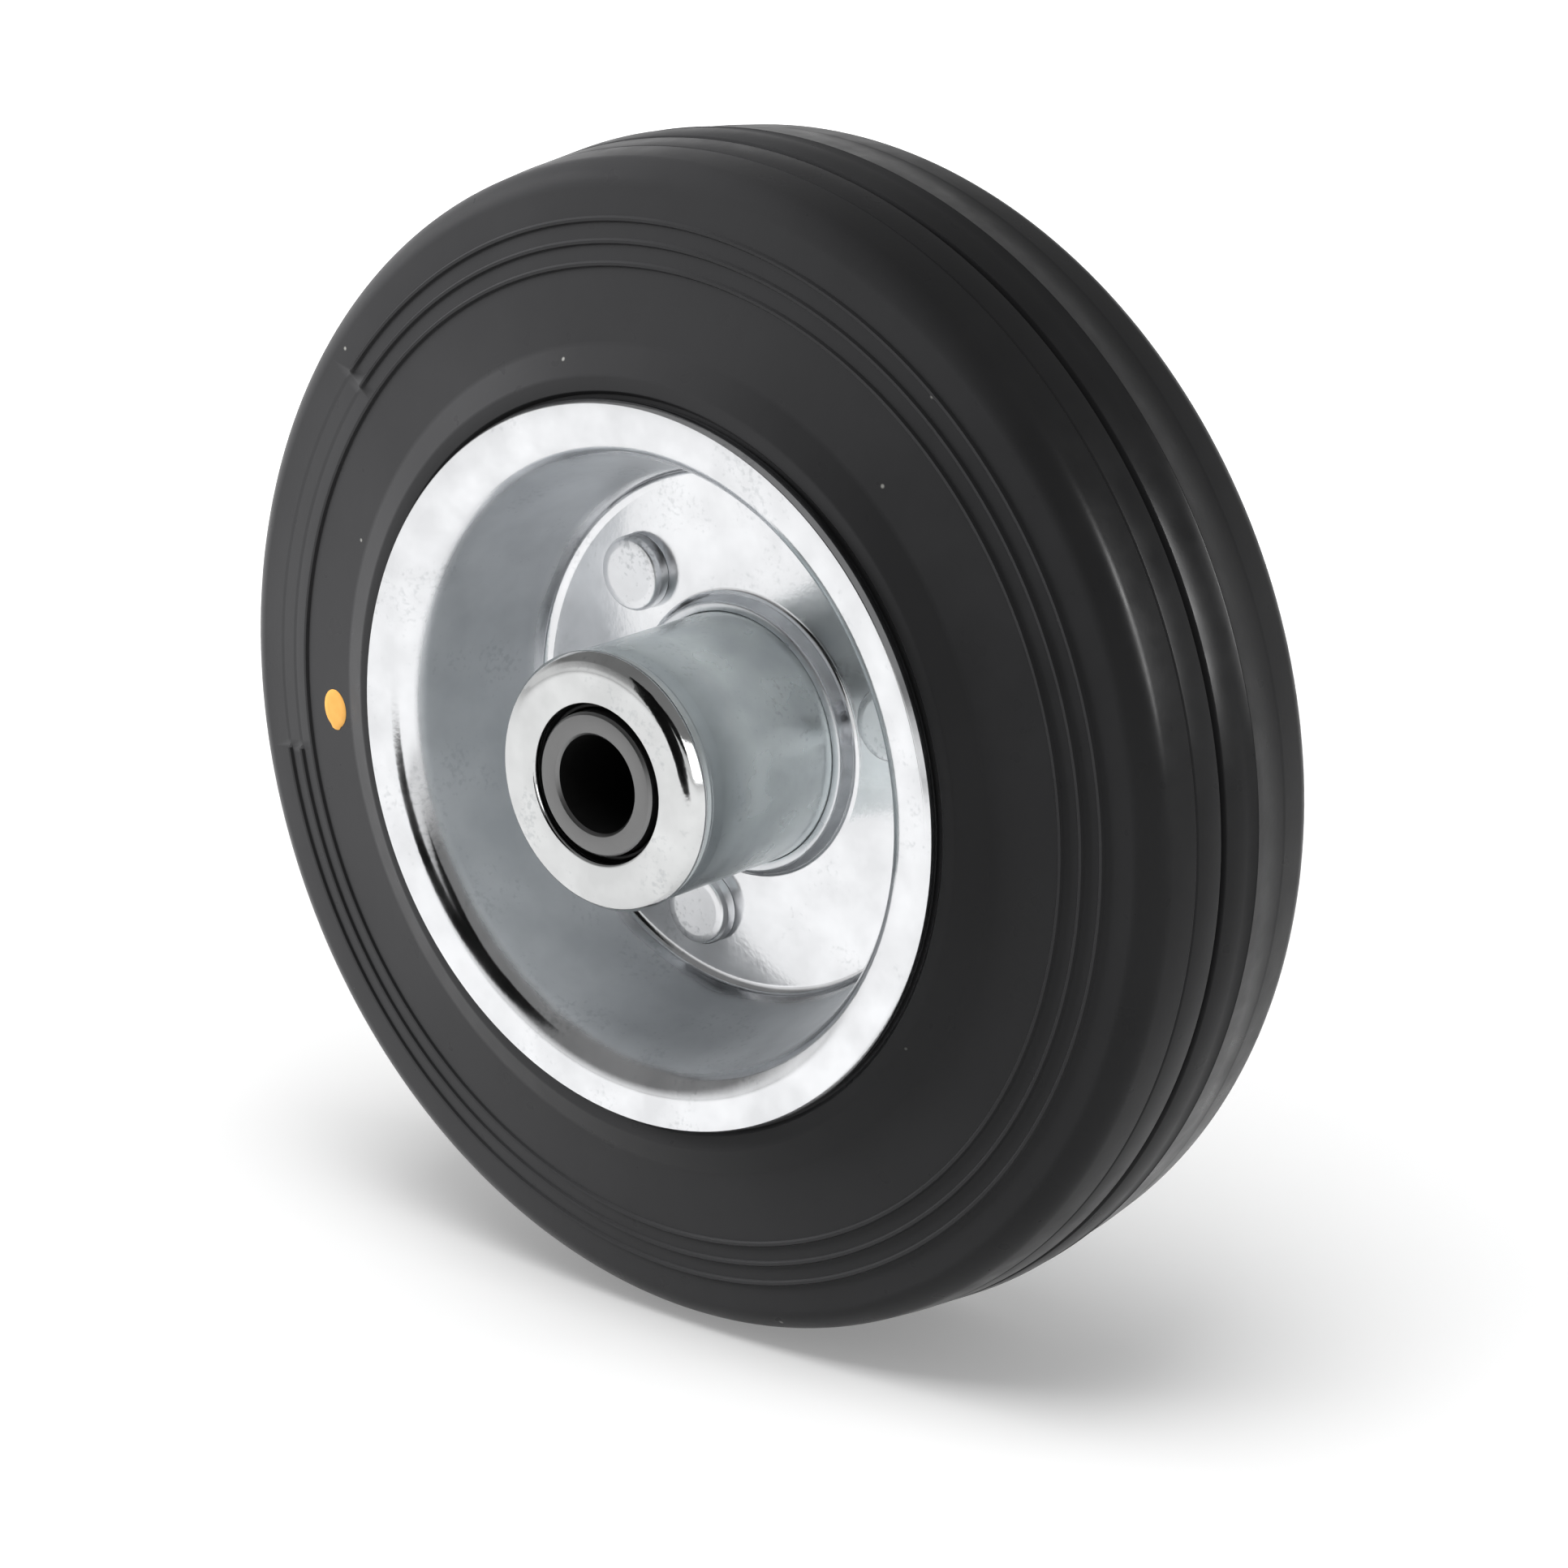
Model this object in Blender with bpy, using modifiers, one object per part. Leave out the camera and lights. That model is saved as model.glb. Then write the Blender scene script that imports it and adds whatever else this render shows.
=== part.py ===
"""Industrial wheel: a solid rubber tyre on a two-disc pressed steel rim, with a roller bearing hub.

The axle runs along Y. The photographed face looks along -Y, and the wheel's centre is the origin.
Every turned piece is drawn as a profile of (radius, height), where height is measured along the
axle from the wheel's middle plane towards the photographed face.
"""
import math

import bmesh
import bpy
from mathutils import Vector

MM = 0.001

# Wheel and tyre
WHEEL_WIDTH = 38.0 * MM             # over the two rim flanges
TYRE_DEPTH = 24.55 * MM             # flange's edge to the tread, which makes the wheel 125 mm across
CROWN_DROP = 0.7 * MM               # how much lower the tread's crease is than its middle
CROWN_HALF_WIDTH = 7.1 * MM         # middle plane to the tread's crease
SHOULDER_DROP = 1.45 * MM           # how much lower the shoulder's corner is than the tread's middle
SHOULDER_ROUND = 3.4 * MM
SIDEWALL_SLOPE = 0.174              # fall of the sidewall for each unit of radius
FLANGE_MOAT = 0.8 * MM              # open ring between the flange's edge and the bead
BEAD_BELOW_FLANGE = 1.55 * MM
BEAD_FLANK = 0.35 * MM
BEAD_TOP_WIDTH = 1.3 * MM
BEAD_FALL_WIDTH = 3.0 * MM          # bead's top to its foot, where the sidewall starts
BEAD_FOOT_BELOW_FLANGE = 3.0 * MM
RIB_COUNT = 3
RIB_INSET = 7.0 * MM                # tread to the outermost rib
RIB_PITCH = 2.2 * MM
RIB_WIDTH = 0.9 * MM
RIB_HEIGHT = 0.25 * MM
PANEL_START = 142.6                 # degrees from +X towards +Z
PANEL_SWEEP = 47.4                  # degrees
PANEL_DEPTH = 0.1 * MM              # bare panel below the plain sidewall
GROOVE_HEIGHT = 3.3 * MM            # middle plane to the tread groove
GROOVE_WIDTH = 0.8 * MM
GROOVE_DEPTH = 1.3 * MM
GROOVE_FLANK = 0.15 * MM

# Pressed rim discs
SHEET = 1.6 * MM
DISH_MOUTH_DIAMETER = 64.6 * MM     # sharp corner of dish wall and flange
DISH_FLOOR_DIAMETER = 55.6 * MM     # sharp corner of dish wall and floor
FLANGE_WIDTH = 5.65 * MM            # dish mouth to the flange's edge
LIP_ROUND = 2.0 * MM
DISH_FILLET = 1.5 * MM
COLLAR_HEIGHT = 1.9 * MM            # collar above the dish floor
COLLAR_FILLET = 1.1 * MM

# Rivets through both discs
RIVET_COUNT = 3
RIVET_PITCH_RADIUS = 20.7 * MM
RIVET_FIRST_ANGLE = 14.5            # degrees from +X towards +Z
RIVET_HEAD_DIAMETER = 8.0 * MM
RIVET_HEAD_HEIGHT = 1.5 * MM
RIVET_HEAD_ROUND = 0.5 * MM
RIVET_SHANK_DIAMETER = 5.0 * MM

# Hub tube and its end caps
HUB_DIAMETER = 26.6 * MM
HUB_BORE = 21.8 * MM
HUB_MARK_HEIGHT = 0.9 * MM          # cap's edge to the fine groove behind it
HUB_MARK_WIDTH = 0.5 * MM
HUB_MARK_DEPTH = 0.25 * MM
CAP_SHEET = 0.8 * MM
CAP_SKIRT = 1.5 * MM                # cap's face to the end of its skirt
CAP_ROUND = 1.3 * MM
CAP_HOLE_DIAMETER = 16.6 * MM
CAP_BELOW_SLEEVE = 0.2 * MM

# Axle sleeve
SLEEVE_LENGTH = 50.0 * MM
SLEEVE_DIAMETER = 15.0 * MM
SLEEVE_BORE = 10.2 * MM
SLEEVE_CHAMFER = 0.3 * MM

# Roller bearing
ROLLER_COUNT = 10
ROLLER_DIAMETER = 3.0 * MM
ROLLER_CHAMFER = 0.3 * MM
CAGE_WALL = 2.4 * MM
CAGE_END_RING = 4.0 * MM            # closed ring at each end of the cage's windows
DUST_RING_THICKNESS = 1.9 * MM

# Clearances
SEAT_GAP = 0.3 * MM                 # between pieces that touch on the real wheel
RUNNING_GAP = 0.2 * MM              # beside what turns in the bearing

# Facets around each turned piece, and along each rounded corner
TYRE_STEPS = 52
RIM_STEPS = 44
HUB_STEPS = 32
BORE_STEPS = 24
SMALL_STEPS = 12
ROLLER_STEPS = 8
CORNER_STEPS = 3

# Heights and radii that follow from the sizes above
FLANGE_FACE = WHEEL_WIDTH / 2
FLANGE_BACK = FLANGE_FACE - SHEET
FLOOR_FACE = SEAT_GAP / 2 + SHEET
HUB_RADIUS = HUB_DIAMETER / 2
COLLAR_RADIUS = HUB_RADIUS + SEAT_GAP + SHEET
DISH_MOUTH_RADIUS = DISH_MOUTH_DIAMETER / 2
DISH_FLOOR_RADIUS = DISH_FLOOR_DIAMETER / 2
FLANGE_RADIUS = DISH_MOUTH_RADIUS + FLANGE_WIDTH
WHEEL_RADIUS = FLANGE_RADIUS + TYRE_DEPTH
DISH_TAPER = (DISH_MOUTH_RADIUS - DISH_FLOOR_RADIUS) / (FLANGE_FACE - FLOOR_FACE)
CAP_FACE = SLEEVE_LENGTH / 2 - CAP_BELOW_SLEEVE
CAP_INSIDE = CAP_FACE - CAP_SHEET
TUBE_END = CAP_INSIDE - SEAT_GAP
CAP_EDGE = CAP_FACE - CAP_SKIRT
DUST_RING_TOP = CAP_INSIDE - SEAT_GAP
CAGE_TOP = DUST_RING_TOP - DUST_RING_THICKNESS - SEAT_GAP
WINDOW_TOP = CAGE_TOP - CAGE_END_RING
ROLLER_TOP = WINDOW_TOP - RUNNING_GAP
ROLLER_RADIUS = ROLLER_DIAMETER / 2
ROLLER_PITCH_RADIUS = (SLEEVE_DIAMETER + HUB_BORE) / 4

PARTS = "industrial_wheel"
CUTTERS = "cutters"


def rounded_path(corners):
    """Points along straight stretches between (radius, height, rounding) corners, with arcs at each."""
    path = []
    last = len(corners) - 1
    for index, (radius, height, rounding) in enumerate(corners):
        here = Vector((radius, height))
        if rounding == 0 or index in (0, last):
            path.append(here)
            continue
        to_before = (Vector(corners[index - 1][:2]) - here).normalized()
        to_after = (Vector(corners[index + 1][:2]) - here).normalized()
        half_angle = to_before.angle(to_after) / 2
        centre = here + (to_before + to_after).normalized() * rounding / math.sin(half_angle)
        reach = rounding / math.tan(half_angle)
        first = here + to_before * reach - centre
        turn = first.angle_signed(here + to_after * reach - centre)
        for step in range(CORNER_STEPS + 1):
            angle = -turn * step / CORNER_STEPS
            across = Vector((-first.y, first.x))
            path.append(centre + first * math.cos(angle) + across * math.sin(angle))
    return path


def mirrored(path):
    """The same points on the other side of the middle plane, in reverse order."""
    return [Vector((point.x, -point.y)) for point in reversed(path)]


def surface_material(name, colour, roughness, metallic):
    """A plain Principled BSDF material."""
    material = bpy.data.materials.new(name)
    material.use_nodes = True
    shader = material.node_tree.nodes["Principled BSDF"]
    shader.inputs["Base Color"].default_value = (*colour, 1.0)
    shader.inputs["Roughness"].default_value = roughness
    shader.inputs["Metallic"].default_value = metallic
    material.diffuse_color = (*colour, 1.0)
    return material


def add_object(name, mesh, parent, collection=PARTS):
    """An object for a mesh, in a collection and under a parent empty."""
    piece = bpy.data.objects.new(name, mesh)
    bpy.data.collections[collection].objects.link(piece)
    piece.parent = parent
    return piece


def add_axis(name, parent=None, location=(0.0, 0.0, 0.0), rotation=(0.0, 0.0, 0.0)):
    """An empty on a joint's axis, whose local Z runs along that axis."""
    axis = add_object(name, None, parent)
    axis.location = location
    axis.rotation_euler = rotation
    axis.empty_display_size = 0.01
    return axis


def profile_mesh(name, path, closed):
    """A mesh of edges along a path in the XZ plane."""
    mesh = bpy.data.meshes.new(name)
    shape = bmesh.new()
    points = [shape.verts.new((point.x, 0.0, point.y)) for point in path]
    for start, end in zip(points, points[1:]):
        shape.edges.new((start, end))
    if closed:
        shape.edges.new((points[-1], points[0]))
    shape.to_mesh(mesh)
    shape.free()
    return mesh


def turned_piece(name, path, steps, parent, material, closed=True):
    """A piece turned about the axle from its profile, which runs down its outer side."""
    piece = add_object(name, profile_mesh(name, path, closed), parent)
    piece.data.materials.append(material)
    screw = piece.modifiers.new("Turn", "SCREW")
    screw.axis = "Z"
    screw.angle = math.tau
    screw.steps = steps
    screw.render_steps = steps
    screw.use_merge_vertices = True
    screw.merge_threshold = 0.00001
    screw.use_smooth_shade = True
    return piece


def pressed_piece(name, path, thickness, steps, parent, material):
    """A turned sheet whose visible face is the path, and whose thickness lies behind it."""
    piece = turned_piece(name, path, steps, parent, material, closed=False)
    wall = piece.modifiers.new("Sheet", "SOLIDIFY")
    wall.thickness = thickness
    wall.offset = -1.0
    wall.use_even_offset = True
    return piece


def hide_cutter(cutter):
    """Marks an object as a cutter."""
    cutter.display_type = "WIRE"
    cutter.hide_render = True


def adopt_cutter(cutter, parent, location):
    """Moves a primitive that was just added to the cutters, under a parent."""
    for collection in cutter.users_collection:
        collection.objects.unlink(cutter)
    bpy.data.collections[CUTTERS].objects.link(cutter)
    cutter.parent = parent
    cutter.location = location
    hide_cutter(cutter)


def cut_with(piece, cutter):
    """Cuts one object with another by an exact Boolean."""
    cut = piece.modifiers.new("Cut " + cutter.name, "BOOLEAN")
    cut.operation = "DIFFERENCE"
    cut.solver = "EXACT"
    cut.object = cutter


def smooth_by_angle(piece, degrees=35.0):
    """Rounds the shading of shallow edges and keeps steep ones sharp."""
    smooth = bpy.data.meshes.new_from_object(piece.evaluated_get(bpy.context.evaluated_depsgraph_get()))
    piece.modifiers.clear()
    piece.data = smooth
    smooth.shade_smooth()
    smooth.set_sharp_from_angle(angle=math.radians(degrees))


def polar(radius, degrees):
    """A point at a radius and an angle from local X."""
    angle = math.radians(degrees)
    return Vector((radius * math.cos(angle), radius * math.sin(angle), 0.0))


def seat_radius(height):
    """Radius of the tyre's seat, clear of the back of a disc's dish wall."""
    lean = math.hypot(1.0, DISH_TAPER)
    return DISH_FLOOR_RADIUS + DISH_TAPER * (height - FLOOR_FACE) + (SHEET + SEAT_GAP) * lean


def bead_foot_radius():
    """Radius where the bead ends and the plain sidewall starts."""
    return FLANGE_RADIUS + FLANGE_MOAT + BEAD_FLANK + BEAD_TOP_WIDTH + BEAD_FALL_WIDTH


def sidewall_height(radius):
    """Height of the plain sidewall above the middle plane."""
    return FLANGE_FACE - BEAD_FOOT_BELOW_FLANGE - SIDEWALL_SLOPE * (radius - bead_foot_radius())


def rib_radius(number):
    """Radius of a rib's ridge, counted inwards from the outermost."""
    return WHEEL_RADIUS - RIB_INSET - number * RIB_PITCH


def tyre_side():
    """One side of the tyre, from its seat under the flange out to the tread's crease."""
    pocket = FLANGE_BACK - SEAT_GAP
    bead = FLANGE_FACE - BEAD_BELOW_FLANGE
    moat_edge = FLANGE_RADIUS + FLANGE_MOAT
    shoulder_radius = WHEEL_RADIUS - SHOULDER_DROP
    corners = [
        (seat_radius(pocket), pocket, 0),
        (moat_edge, pocket, 0),
        (moat_edge + BEAD_FLANK, bead, 0),
        (moat_edge + BEAD_FLANK + BEAD_TOP_WIDTH, bead, 0),
        (bead_foot_radius(), sidewall_height(bead_foot_radius()), 0),
    ]
    for number in reversed(range(RIB_COUNT)):
        radius = rib_radius(number)
        corners.append((radius - RIB_WIDTH / 2, sidewall_height(radius - RIB_WIDTH / 2), 0))
        corners.append((radius, sidewall_height(radius) + RIB_HEIGHT, 0))
        corners.append((radius + RIB_WIDTH / 2, sidewall_height(radius + RIB_WIDTH / 2), 0))
    corners.append((shoulder_radius, sidewall_height(shoulder_radius), SHOULDER_ROUND))
    corners.append((WHEEL_RADIUS - CROWN_DROP, CROWN_HALF_WIDTH, 0))
    return rounded_path(corners)


def tread_groove():
    """The groove beside the tread's middle, on the photographed side, and the crown's highest line."""
    crown = WHEEL_RADIUS
    rise = CROWN_DROP / CROWN_HALF_WIDTH
    upper = GROOVE_HEIGHT + GROOVE_WIDTH / 2
    lower = GROOVE_HEIGHT - GROOVE_WIDTH / 2
    return [
        Vector((crown - rise * upper, upper)),
        Vector((crown - GROOVE_DEPTH, upper - GROOVE_FLANK)),
        Vector((crown - GROOVE_DEPTH, lower + GROOVE_FLANK)),
        Vector((crown - rise * lower, lower)),
        Vector((crown, 0.0)),
    ]


def make_tyre(parent):
    """Solid rubber tyre, clamped between the flanges of the two discs."""
    side = tyre_side()
    bore_height = FLOOR_FACE + DISH_FILLET
    bore = [Vector((seat_radius(bore_height), -bore_height)), Vector((seat_radius(bore_height), bore_height))]
    rubber = surface_material("black_rubber", (0.035, 0.035, 0.036), 0.55, 0.0)
    tyre = turned_piece("tyre", side + tread_groove() + mirrored(side) + bore, TYRE_STEPS, parent, rubber)
    cut_with(tyre, panel_cutter(parent))
    return tyre


def panel_cutter(parent):
    """Sector that takes the outer ribs off a panel on the photographed sidewall."""
    outer = rib_radius(0) + RIB_PITCH / 2
    inner = rib_radius(RIB_COUNT - 1) + RIB_PITCH / 2
    clear = sidewall_height(inner) + 4 * RIB_HEIGHT
    shape = bmesh.new()
    corners = [shape.verts.new((radius, 0.0, height)) for radius, height in (
        (inner, sidewall_height(inner) - PANEL_DEPTH),
        (inner, clear),
        (outer, clear),
        (outer, sidewall_height(outer) - PANEL_DEPTH),
    )]
    section = shape.faces.new(corners)
    steps = max(1, round(TYRE_STEPS * PANEL_SWEEP / 360.0))
    bmesh.ops.spin(shape, geom=corners + list(section.edges) + [section], axis=(0.0, 0.0, 1.0),
                   angle=math.radians(PANEL_SWEEP), steps=steps)
    bmesh.ops.recalc_face_normals(shape, faces=shape.faces)
    mesh = bpy.data.meshes.new("sidewall_panel")
    shape.to_mesh(mesh)
    shape.free()
    cutter = add_object("sidewall_panel", mesh, parent, CUTTERS)
    cutter.rotation_euler = (0.0, 0.0, math.radians(PANEL_START))
    hide_cutter(cutter)
    return cutter


def disc_path():
    """Visible face of a disc: collar, dish floor, dish wall, rolled lip and flange."""
    return rounded_path([
        (COLLAR_RADIUS, FLOOR_FACE + COLLAR_HEIGHT, 0),
        (COLLAR_RADIUS, FLOOR_FACE, COLLAR_FILLET),
        (DISH_FLOOR_RADIUS, FLOOR_FACE, DISH_FILLET),
        (DISH_MOUTH_RADIUS, FLANGE_FACE, LIP_ROUND),
        (FLANGE_RADIUS, FLANGE_FACE, 0),
    ])


def make_discs(parent, back_to_front):
    """The two pressed discs, back to back, each with holes for the rivets."""
    zinc = surface_material("zinc_plated_sheet", (0.62, 0.64, 0.66), 0.28, 1.0)
    hole_radius = RIVET_SHANK_DIAMETER / 2 + SEAT_GAP
    discs = []
    for name, axis in (("rim_disc_front", parent), ("rim_disc_back", back_to_front)):
        disc = pressed_piece(name, disc_path(), SHEET, RIM_STEPS, axis, zinc)
        discs.append(disc)
    for number in range(RIVET_COUNT):
        bpy.ops.mesh.primitive_cylinder_add(vertices=SMALL_STEPS, radius=hole_radius, depth=6 * SHEET)
        cutter = bpy.context.object
        cutter.name = "rivet_hole_" + str(number + 1)
        adopt_cutter(cutter, parent, rivet_place(number))
        for disc in discs:
            cut_with(disc, cutter)
    return discs


def rivet_place(number):
    """Centre of a rivet in the middle plane."""
    return polar(RIVET_PITCH_RADIUS, RIVET_FIRST_ANGLE + number * 360.0 / RIVET_COUNT)


def make_rivets(parent):
    """Flat-headed rivets that hold the two discs together."""
    steel = surface_material("zinc_plated_rivet", (0.66, 0.67, 0.68), 0.38, 1.0)
    underside = FLOOR_FACE + SEAT_GAP
    half = rounded_path([
        (0.0, underside + RIVET_HEAD_HEIGHT, 0),
        (RIVET_HEAD_DIAMETER / 2, underside + RIVET_HEAD_HEIGHT, RIVET_HEAD_ROUND),
        (RIVET_HEAD_DIAMETER / 2, underside, 0),
        (RIVET_SHANK_DIAMETER / 2, underside, 0),
    ])
    rivets = []
    for number in range(RIVET_COUNT):
        rivet = turned_piece("rivet_" + str(number + 1), half + mirrored(half), SMALL_STEPS, parent, steel,
                             closed=False)
        rivet.location = rivet_place(number)
        rivets.append(rivet)
    return rivets


def make_hub_tube(parent):
    """Hub tube, whose bore is the bearing's outer race, turned down at both ends for the caps."""
    zinc = surface_material("zinc_plated_tube", (0.55, 0.58, 0.60), 0.32, 1.0)
    cap_seat = HUB_RADIUS - CAP_SHEET - SEAT_GAP
    shoulder = CAP_EDGE - SEAT_GAP
    mark = shoulder - HUB_MARK_HEIGHT
    half = [Vector(point) for point in (
        (HUB_BORE / 2, TUBE_END),
        (cap_seat, TUBE_END),
        (cap_seat, shoulder),
        (HUB_RADIUS, shoulder),
        (HUB_RADIUS, mark),
        (HUB_RADIUS - HUB_MARK_DEPTH, mark - HUB_MARK_WIDTH / 2),
        (HUB_RADIUS, mark - HUB_MARK_WIDTH),
    )]
    return [turned_piece("hub_tube", half + mirrored(half), HUB_STEPS, parent, zinc)]


def make_caps(parent, back_to_front):
    """Pressed end caps over the ends of the hub tube."""
    zinc = surface_material("zinc_plated_cap", (0.68, 0.69, 0.70), 0.25, 1.0)
    path = rounded_path([
        (CAP_HOLE_DIAMETER / 2, CAP_FACE, 0),
        (HUB_RADIUS, CAP_FACE, CAP_ROUND),
        (HUB_RADIUS, CAP_EDGE, 0),
    ])
    return [pressed_piece(name, path, CAP_SHEET, HUB_STEPS, axis, zinc)
            for name, axis in (("hub_cap_front", parent), ("hub_cap_back", back_to_front))]


def make_dust_rings(parent, back_to_front):
    """Plastic rings that close the bearing behind the caps."""
    plastic = surface_material("black_plastic", (0.012, 0.012, 0.013), 0.6, 0.0)
    outer = HUB_BORE / 2 - SEAT_GAP
    inner = SLEEVE_DIAMETER / 2 + SEAT_GAP
    foot = DUST_RING_TOP - DUST_RING_THICKNESS
    path = [Vector(point) for point in
            ((inner, DUST_RING_TOP), (outer, DUST_RING_TOP), (outer, foot), (inner, foot))]
    return [turned_piece(name, path, BORE_STEPS, axis, plastic)
            for name, axis in (("dust_ring_front", parent), ("dust_ring_back", back_to_front))]


def make_sleeve(parent):
    """Axle sleeve: the bearing's inner race, clamped between the fork legs by the axle bolt."""
    steel = surface_material("ground_steel", (0.46, 0.46, 0.46), 0.42, 1.0)
    outer = SLEEVE_DIAMETER / 2
    inner = SLEEVE_BORE / 2
    end = SLEEVE_LENGTH / 2
    half = [Vector(point) for point in (
        (inner, end - SLEEVE_CHAMFER),
        (inner + SLEEVE_CHAMFER, end),
        (outer - SLEEVE_CHAMFER, end),
        (outer, end - SLEEVE_CHAMFER),
    )]
    return turned_piece("axle_sleeve", half + mirrored(half), BORE_STEPS, parent, steel)


def make_cage(parent):
    """Plastic roller cage: a tube with a window for each roller."""
    plastic = surface_material("cage_plastic", (0.30, 0.22, 0.12), 0.5, 0.0)
    outer = ROLLER_PITCH_RADIUS + CAGE_WALL / 2
    inner = ROLLER_PITCH_RADIUS - CAGE_WALL / 2
    path = [Vector(point) for point in
            ((inner, CAGE_TOP), (outer, CAGE_TOP), (outer, -CAGE_TOP), (inner, -CAGE_TOP))]
    cage = turned_piece("roller_cage", path, HUB_STEPS, parent, plastic)
    window_width = ROLLER_DIAMETER + 2 * RUNNING_GAP
    window_length = 2 * WINDOW_TOP
    for number in range(ROLLER_COUNT):
        angle = number * 360.0 / ROLLER_COUNT
        bpy.ops.mesh.primitive_cube_add(size=1.0)
        cutter = bpy.context.object
        cutter.name = "cage_window_" + str(number + 1)
        for corner in cutter.data.vertices:
            corner.co = (corner.co.x * 2 * CAGE_WALL, corner.co.y * window_width, corner.co.z * window_length)
        adopt_cutter(cutter, parent, polar(ROLLER_PITCH_RADIUS, angle))
        cutter.rotation_euler = (0.0, 0.0, math.radians(angle))
        cut_with(cage, cutter)
    return cage


def make_rollers(parent):
    """Steel rollers, each turning on its own axis in its window of the cage."""
    steel = surface_material("bearing_steel", (0.56, 0.56, 0.57), 0.2, 1.0)
    half = [Vector(point) for point in (
        (0.0, ROLLER_TOP),
        (ROLLER_RADIUS - ROLLER_CHAMFER, ROLLER_TOP),
        (ROLLER_RADIUS, ROLLER_TOP - ROLLER_CHAMFER),
    )]
    rollers = []
    for number in range(ROLLER_COUNT):
        name = "roller_" + str(number + 1).zfill(2)
        place = polar(ROLLER_PITCH_RADIUS, number * 360.0 / ROLLER_COUNT)
        axis = add_axis(name + "_axis", parent, place)
        rollers.append(turned_piece(name, half + mirrored(half), ROLLER_STEPS, axis, steel, closed=False))
    return rollers


def main():
    """Builds the wheel."""
    for old in list(bpy.data.objects):
        bpy.data.objects.remove(old)
    for name in (PARTS, CUTTERS):
        collection = bpy.data.collections.new(name)
        bpy.context.scene.collection.children.link(collection)
    sleeve_axis = add_axis("axle_axis", rotation=(math.pi / 2, 0.0, 0.0))
    wheel_axis = add_axis("wheel_axis", sleeve_axis)
    back_axis = add_axis("wheel_back_axis", wheel_axis, rotation=(math.pi, 0.0, 0.0))
    cage_axis = add_axis("cage_axis", sleeve_axis)
    pieces = [make_sleeve(sleeve_axis), make_tyre(wheel_axis), make_cage(cage_axis)]
    pieces += make_discs(wheel_axis, back_axis)
    pieces += make_rivets(wheel_axis)
    pieces += make_hub_tube(wheel_axis)
    pieces += make_caps(wheel_axis, back_axis)
    pieces += make_dust_rings(wheel_axis, back_axis)
    pieces += make_rollers(cage_axis)
    for piece in pieces:
        smooth_by_angle(piece)


main()
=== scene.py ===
"""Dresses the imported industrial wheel: fine turned pieces, their finishes, and a plain pale studio.

The axle runs along Y and the photographed face looks along -Y. A turned piece is drawn as a line of
corners (radius, height, rounding) in millimetres, where height is measured along the axle from the
wheel's middle plane towards the photographed face, and the line is then spun about the axle.
"""
import math

import bmesh
import bpy
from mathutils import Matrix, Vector


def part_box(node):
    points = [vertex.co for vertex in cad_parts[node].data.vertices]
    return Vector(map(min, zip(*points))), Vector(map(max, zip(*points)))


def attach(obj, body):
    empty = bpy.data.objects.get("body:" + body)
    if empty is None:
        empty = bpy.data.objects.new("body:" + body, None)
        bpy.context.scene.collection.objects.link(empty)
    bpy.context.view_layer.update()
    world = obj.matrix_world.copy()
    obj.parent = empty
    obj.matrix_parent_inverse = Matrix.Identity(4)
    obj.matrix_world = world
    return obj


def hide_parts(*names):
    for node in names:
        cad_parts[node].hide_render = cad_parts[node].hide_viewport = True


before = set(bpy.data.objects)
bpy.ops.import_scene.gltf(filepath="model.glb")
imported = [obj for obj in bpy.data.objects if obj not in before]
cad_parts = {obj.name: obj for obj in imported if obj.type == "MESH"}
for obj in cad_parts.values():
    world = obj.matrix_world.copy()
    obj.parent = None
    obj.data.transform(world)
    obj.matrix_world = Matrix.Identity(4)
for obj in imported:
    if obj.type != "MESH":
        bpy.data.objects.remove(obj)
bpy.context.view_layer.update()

bl_info = {
    "name": "Industrial wheel",
    "version": (1, 0, 0),
    "blender": (4, 5, 0),
    "location": "View3D > Sidebar > Wheel",
    "description": "Builds the detailed pieces and finishes of a rubber-tyred industrial wheel",
    "category": "Object",
}

MM = 0.001
SAME_PLACE = 0.001 * MM         # corners nearer than this are one corner

# Measures that several pieces share, in millimetres unless said otherwise
TYRE_LOW, TYRE_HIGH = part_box("tyre")
WHEEL_RADIUS = TYRE_HIGH.z / MM
SLEEVE_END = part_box("axle_sleeve")[1].y / MM
CREASE_HEIGHT = 7.1             # middle plane to the tread's crease
SIDEWALL_FOOT_RADIUS = 43.4     # where the sidewall starts, at the bead's foot
SIDEWALL_FOOT_HEIGHT = 16.0
SIDEWALL_SLOPE = 0.174          # fall of the sidewall for each millimetre of radius
RIB_RADII = (51.1, 53.3, 55.5)
PANEL_START, PANEL_END = 142.6, 190.0   # degrees round the wheel
DOT_RADIUS, DOT_ANGLE = 46.1, 184.0     # the paint mark's middle, and degrees round the wheel
RIVET_COUNT = 3
RIVET_RADIUS = 20.7             # axle to a rivet's middle
RIVET_ANGLE = 14.5              # degrees round the wheel to the first rivet
SLEEVE_BORE_RADIUS = 5.1
GRINDING_PITCH = 0.18           # between the rings on the sleeve's end

# Numbers of the Mix node's sockets, and the pitch in metres of a wave texture of scale 1
MIX_FACTOR, MIX_NUMBER_A, MIX_NUMBER_B, MIX_NUMBER_RESULT = 0, 2, 3, 0
MIX_COLOUR_A, MIX_COLOUR_B, MIX_COLOUR_RESULT = 6, 7, 2
WAVE_PITCH = 0.314

# The photograph's camera: its place in metres, its turn in radians and its lens in mm on a 36 mm sensor
CAMERA_PLACE = Vector((0.36670, -0.42627, 0.17275))
CAMERA_TURN = (math.radians(90.0 - 17.63), 0.0, math.radians(40.42))
CAMERA_LENS = 130.43


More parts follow.
